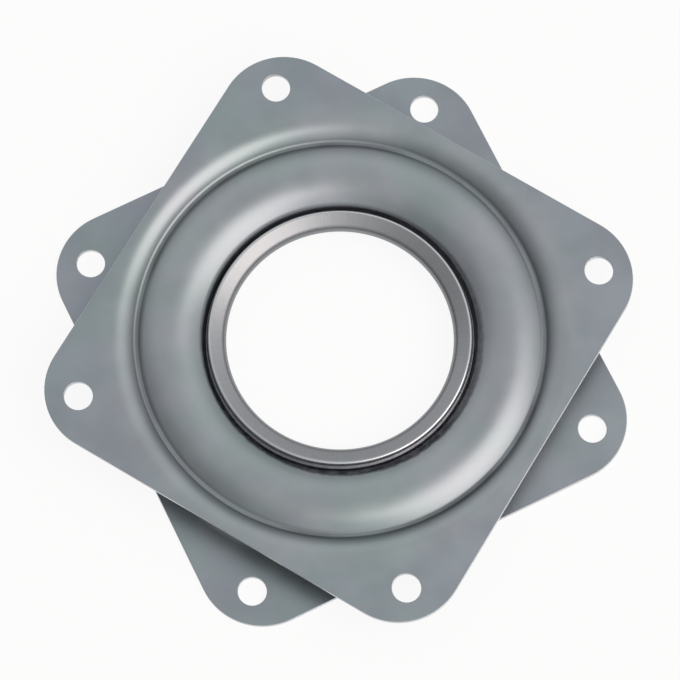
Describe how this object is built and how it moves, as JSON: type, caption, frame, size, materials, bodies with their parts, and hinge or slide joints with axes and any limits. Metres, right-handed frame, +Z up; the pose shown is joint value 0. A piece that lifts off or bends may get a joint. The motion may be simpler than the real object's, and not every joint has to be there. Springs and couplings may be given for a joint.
{
  "type": "lazy susan bearing",
  "caption": "Flat square swivel bearing for trays and turntables: pressed steel plates with corner screw holes turn on a ring of steel balls around an open centre.",
  "frame": {"origin": "on the turning axis, at the plane of the base plate's underside", "axes": "+Z up along the turning axis, from the base plate to the top plate; X and Y run along the base plate's sides"},
  "size_m": [0.0992, 0.0992, 0.0085],
  "materials": {
    "plate_steel": "satin grey zinc plate on pressed sheet steel",
    "ball_steel": "polished hardened steel"
  },
  "bodies": {
    "base": {"base_plate": "plate_steel"},
    "top": {"top_plate": "plate_steel"},
    "ball_ring": {"ball_01": "ball_steel", "ball_02": "ball_steel", "ball_03": "ball_steel", "ball_04": "ball_steel", "ball_05": "ball_steel", "ball_06": "ball_steel", "ball_07": "ball_steel", "ball_08": "ball_steel", "ball_09": "ball_steel", "ball_10": "ball_steel", "ball_11": "ball_steel", "ball_12": "ball_steel", "ball_13": "ball_steel", "ball_14": "ball_steel", "ball_15": "ball_steel", "ball_16": "ball_steel", "ball_17": "ball_steel", "ball_18": "ball_steel", "ball_19": "ball_steel", "ball_20": "ball_steel", "ball_21": "ball_steel", "ball_22": "ball_steel", "ball_23": "ball_steel", "ball_24": "ball_steel", "ball_25": "ball_steel", "ball_26": "ball_steel", "ball_27": "ball_steel"}
  },
  "joints": [
    {"name": "swivel", "type": "hinge", "parent": "base", "child": "top", "pos_m": [0, 0, 0.00425], "axis": [0, 0, 1], "continuous": true},
    {"name": "ball_orbit", "type": "hinge", "parent": "base", "child": "ball_ring", "pos_m": [0, 0, 0.00425], "axis": [0, 0, 1], "continuous": true}
  ],
  "couplings": [
    {"joint": "ball_orbit", "follows": "swivel", "ratio": 0.5}
  ]
}
